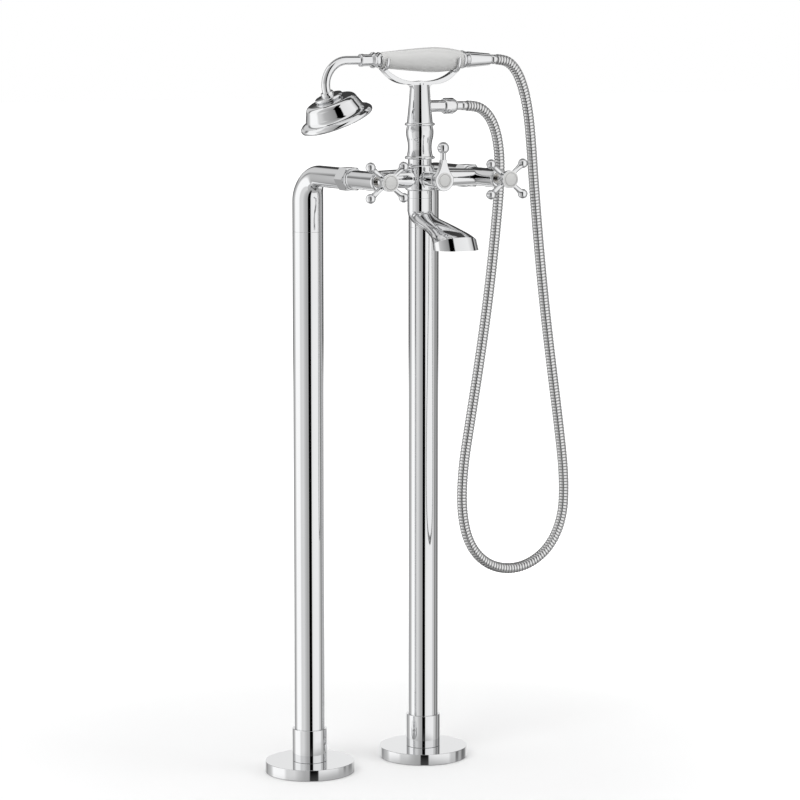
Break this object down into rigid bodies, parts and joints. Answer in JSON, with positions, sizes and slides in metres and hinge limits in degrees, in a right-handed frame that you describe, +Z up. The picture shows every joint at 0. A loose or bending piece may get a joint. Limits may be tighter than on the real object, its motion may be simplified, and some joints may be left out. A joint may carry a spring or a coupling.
{
  "type": "floor standing bath filler",
  "caption": "Chrome floor standing bath and shower mixer on a pair of standpipes, with cross handles, a diverter lever, a flared spout and a cradled handset on a ribbed hose.",
  "frame": {"origin": "on the finished floor, midway between the axes of the two standpipes, at the middle of the four floor screw holes", "axes": "+X to the right along the line of the standpipes, -Y to the front where the spout and the handles point, +Z up"},
  "size_m": [0.4046, 0.3277, 0.9925],
  "materials": {
    "chrome": "polished",
    "hose_chrome": "polished, ribbed",
    "brass": "machined",
    "steel": "machined",
    "porcelain": "glazed",
    "disc_ceramic": "lapped",
    "rubber": "matt"
  },
  "bodies": {
    "stand": {"left_floor_plate": "brass", "left_cover_flange": "chrome", "left_base_collar": "chrome", "left_standpipe": "chrome", "left_elbow": "chrome", "left_union_nut": "chrome", "left_valve_cartridge": "brass", "left_fixed_disc": "disc_ceramic", "left_valve_bonnet": "chrome", "right_floor_plate": "brass", "right_cover_flange": "chrome", "right_base_collar": "chrome", "right_standpipe": "chrome", "right_elbow": "chrome", "right_union_nut": "chrome", "right_valve_cartridge": "brass", "right_fixed_disc": "disc_ceramic", "right_valve_bonnet": "chrome", "pipe_sealing_rings": "rubber", "collar_grub_screws": "steel", "union_washers": "rubber", "mixer_body": "chrome", "diverter_gland": "brass", "diverter_bonnet": "chrome", "spout_tail": "chrome", "spout": "chrome", "column_baluster": "chrome", "column_cone": "chrome", "lower_hose_washer": "rubber", "lower_hose_nut": "chrome", "lower_hose_ferrule": "chrome", "handset_cradle": "chrome", "shower_hose": "hose_chrome"},
    "left_valve": {"left_cross_handle": "chrome", "left_index_disc": "porcelain", "left_handle_screw": "steel", "left_valve_spindle": "brass", "left_moving_disc": "disc_ceramic"},
    "right_valve": {"right_cross_handle": "chrome", "right_index_disc": "porcelain", "right_handle_screw": "steel", "right_valve_spindle": "brass", "right_moving_disc": "disc_ceramic"},
    "diverter": {"diverter_lever": "chrome", "lever_index_disc": "porcelain", "lever_screw": "steel", "diverter_spindle": "brass"},
    "handset": {"handset_grip": "porcelain", "grip_core": "brass", "front_collar": "chrome", "rear_collar": "chrome", "upper_hose_nut": "chrome", "upper_hose_ferrule": "chrome", "handset_neck": "chrome", "rose_body": "chrome", "rose_face_plate": "chrome"}
  },
  "joints": [
    {"name": "left_valve_turn", "type": "hinge", "parent": "stand", "child": "left_valve", "pos_m": [-0.09, -0.2, 0.821], "axis": [0, -1, 0], "range_deg": [0, 90]},
    {"name": "right_valve_turn", "type": "hinge", "parent": "stand", "child": "right_valve", "pos_m": [0.09, -0.2, 0.821], "axis": [0, 1, 0], "range_deg": [0, 90]},
    {"name": "diverter_turn", "type": "hinge", "parent": "stand", "child": "diverter", "pos_m": [0, -0.2, 0.821], "axis": [0, 1, 0], "range_deg": [0, 90]},
    {"name": "handset_lift", "type": "slide", "parent": "stand", "child": "handset", "axis": [0, 0, 1], "range_m": [0, 0.05]}
  ]
}
